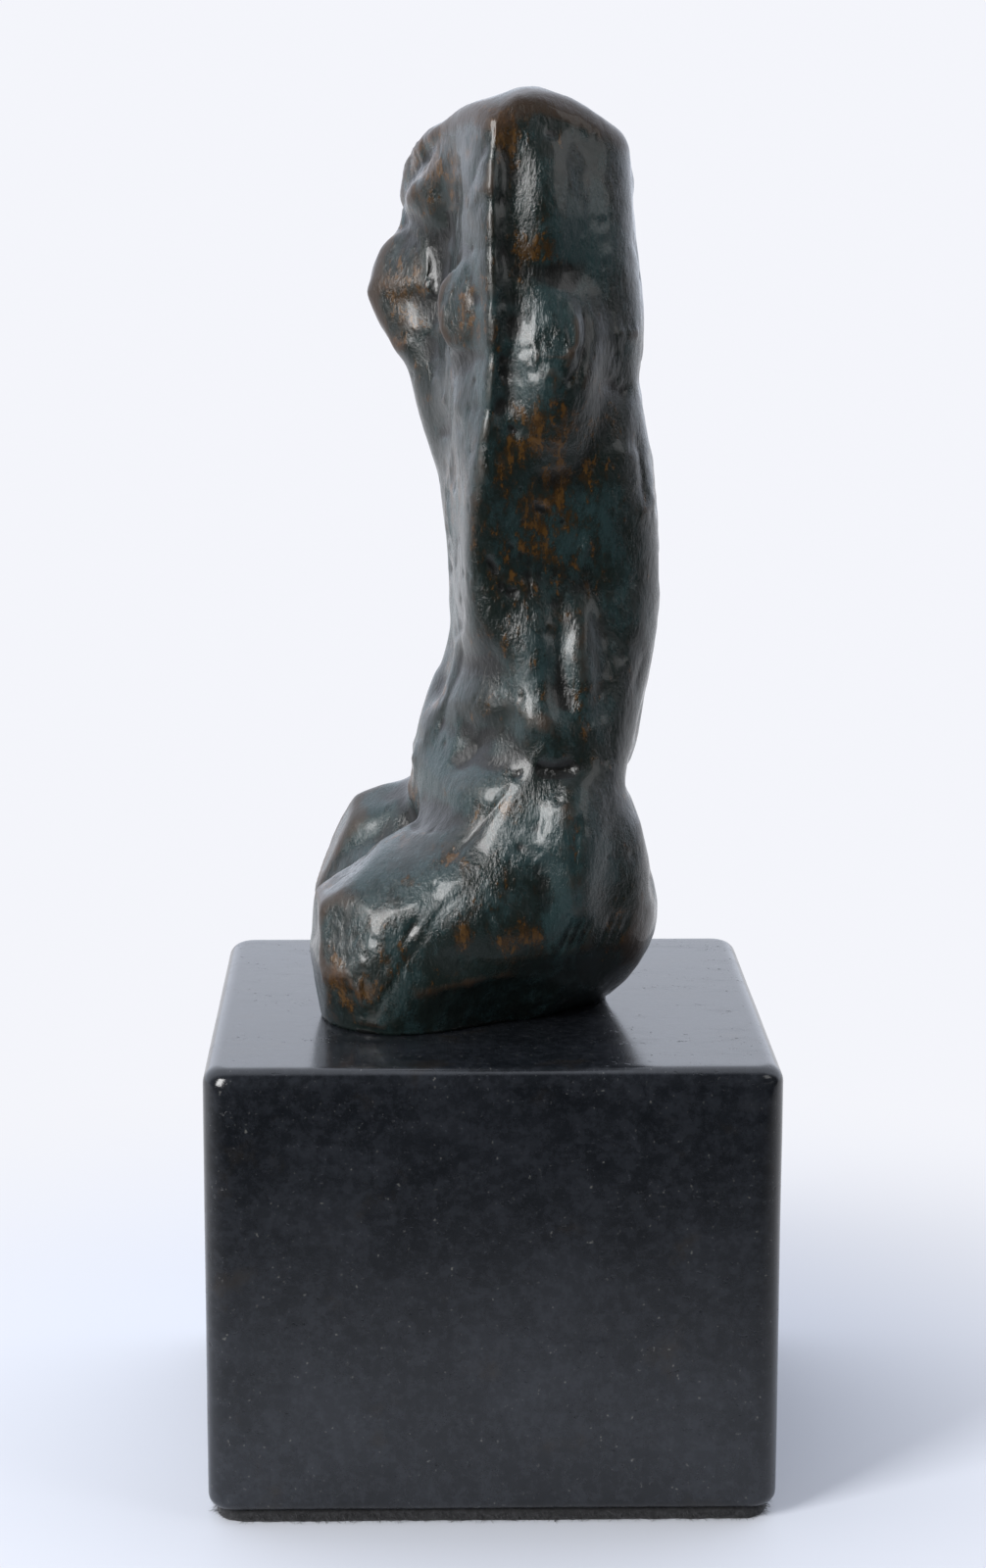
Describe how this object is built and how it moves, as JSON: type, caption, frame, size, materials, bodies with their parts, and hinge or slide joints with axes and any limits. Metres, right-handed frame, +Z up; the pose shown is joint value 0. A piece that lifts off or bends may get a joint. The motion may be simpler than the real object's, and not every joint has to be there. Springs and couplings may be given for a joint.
{
  "type": "bronze torso sculpture",
  "caption": "Small cast bronze of a headless, armless human torso, modelled loosely, standing on a square black stone block with a felt pad under it; a table ornament.",
  "frame": {"origin": "centre of the felt pad's underside, which rests on the table", "axes": "+Z up; the figure faces -X, turned a little towards -Y, and the flank seen in the picture faces -Y"},
  "size_m": [0.1, 0.1, 0.248],
  "materials": {
    "bronze": "dark green-black patina, waxed to a soft gloss, brown where rubbed",
    "stone": "polished black stone with fine pale specks",
    "felt": "matt black wool felt"
  },
  "bodies": {
    "root": {"torso": "bronze", "plinth": "stone", "felt_pad": "felt"}
  },
  "joints": []
}
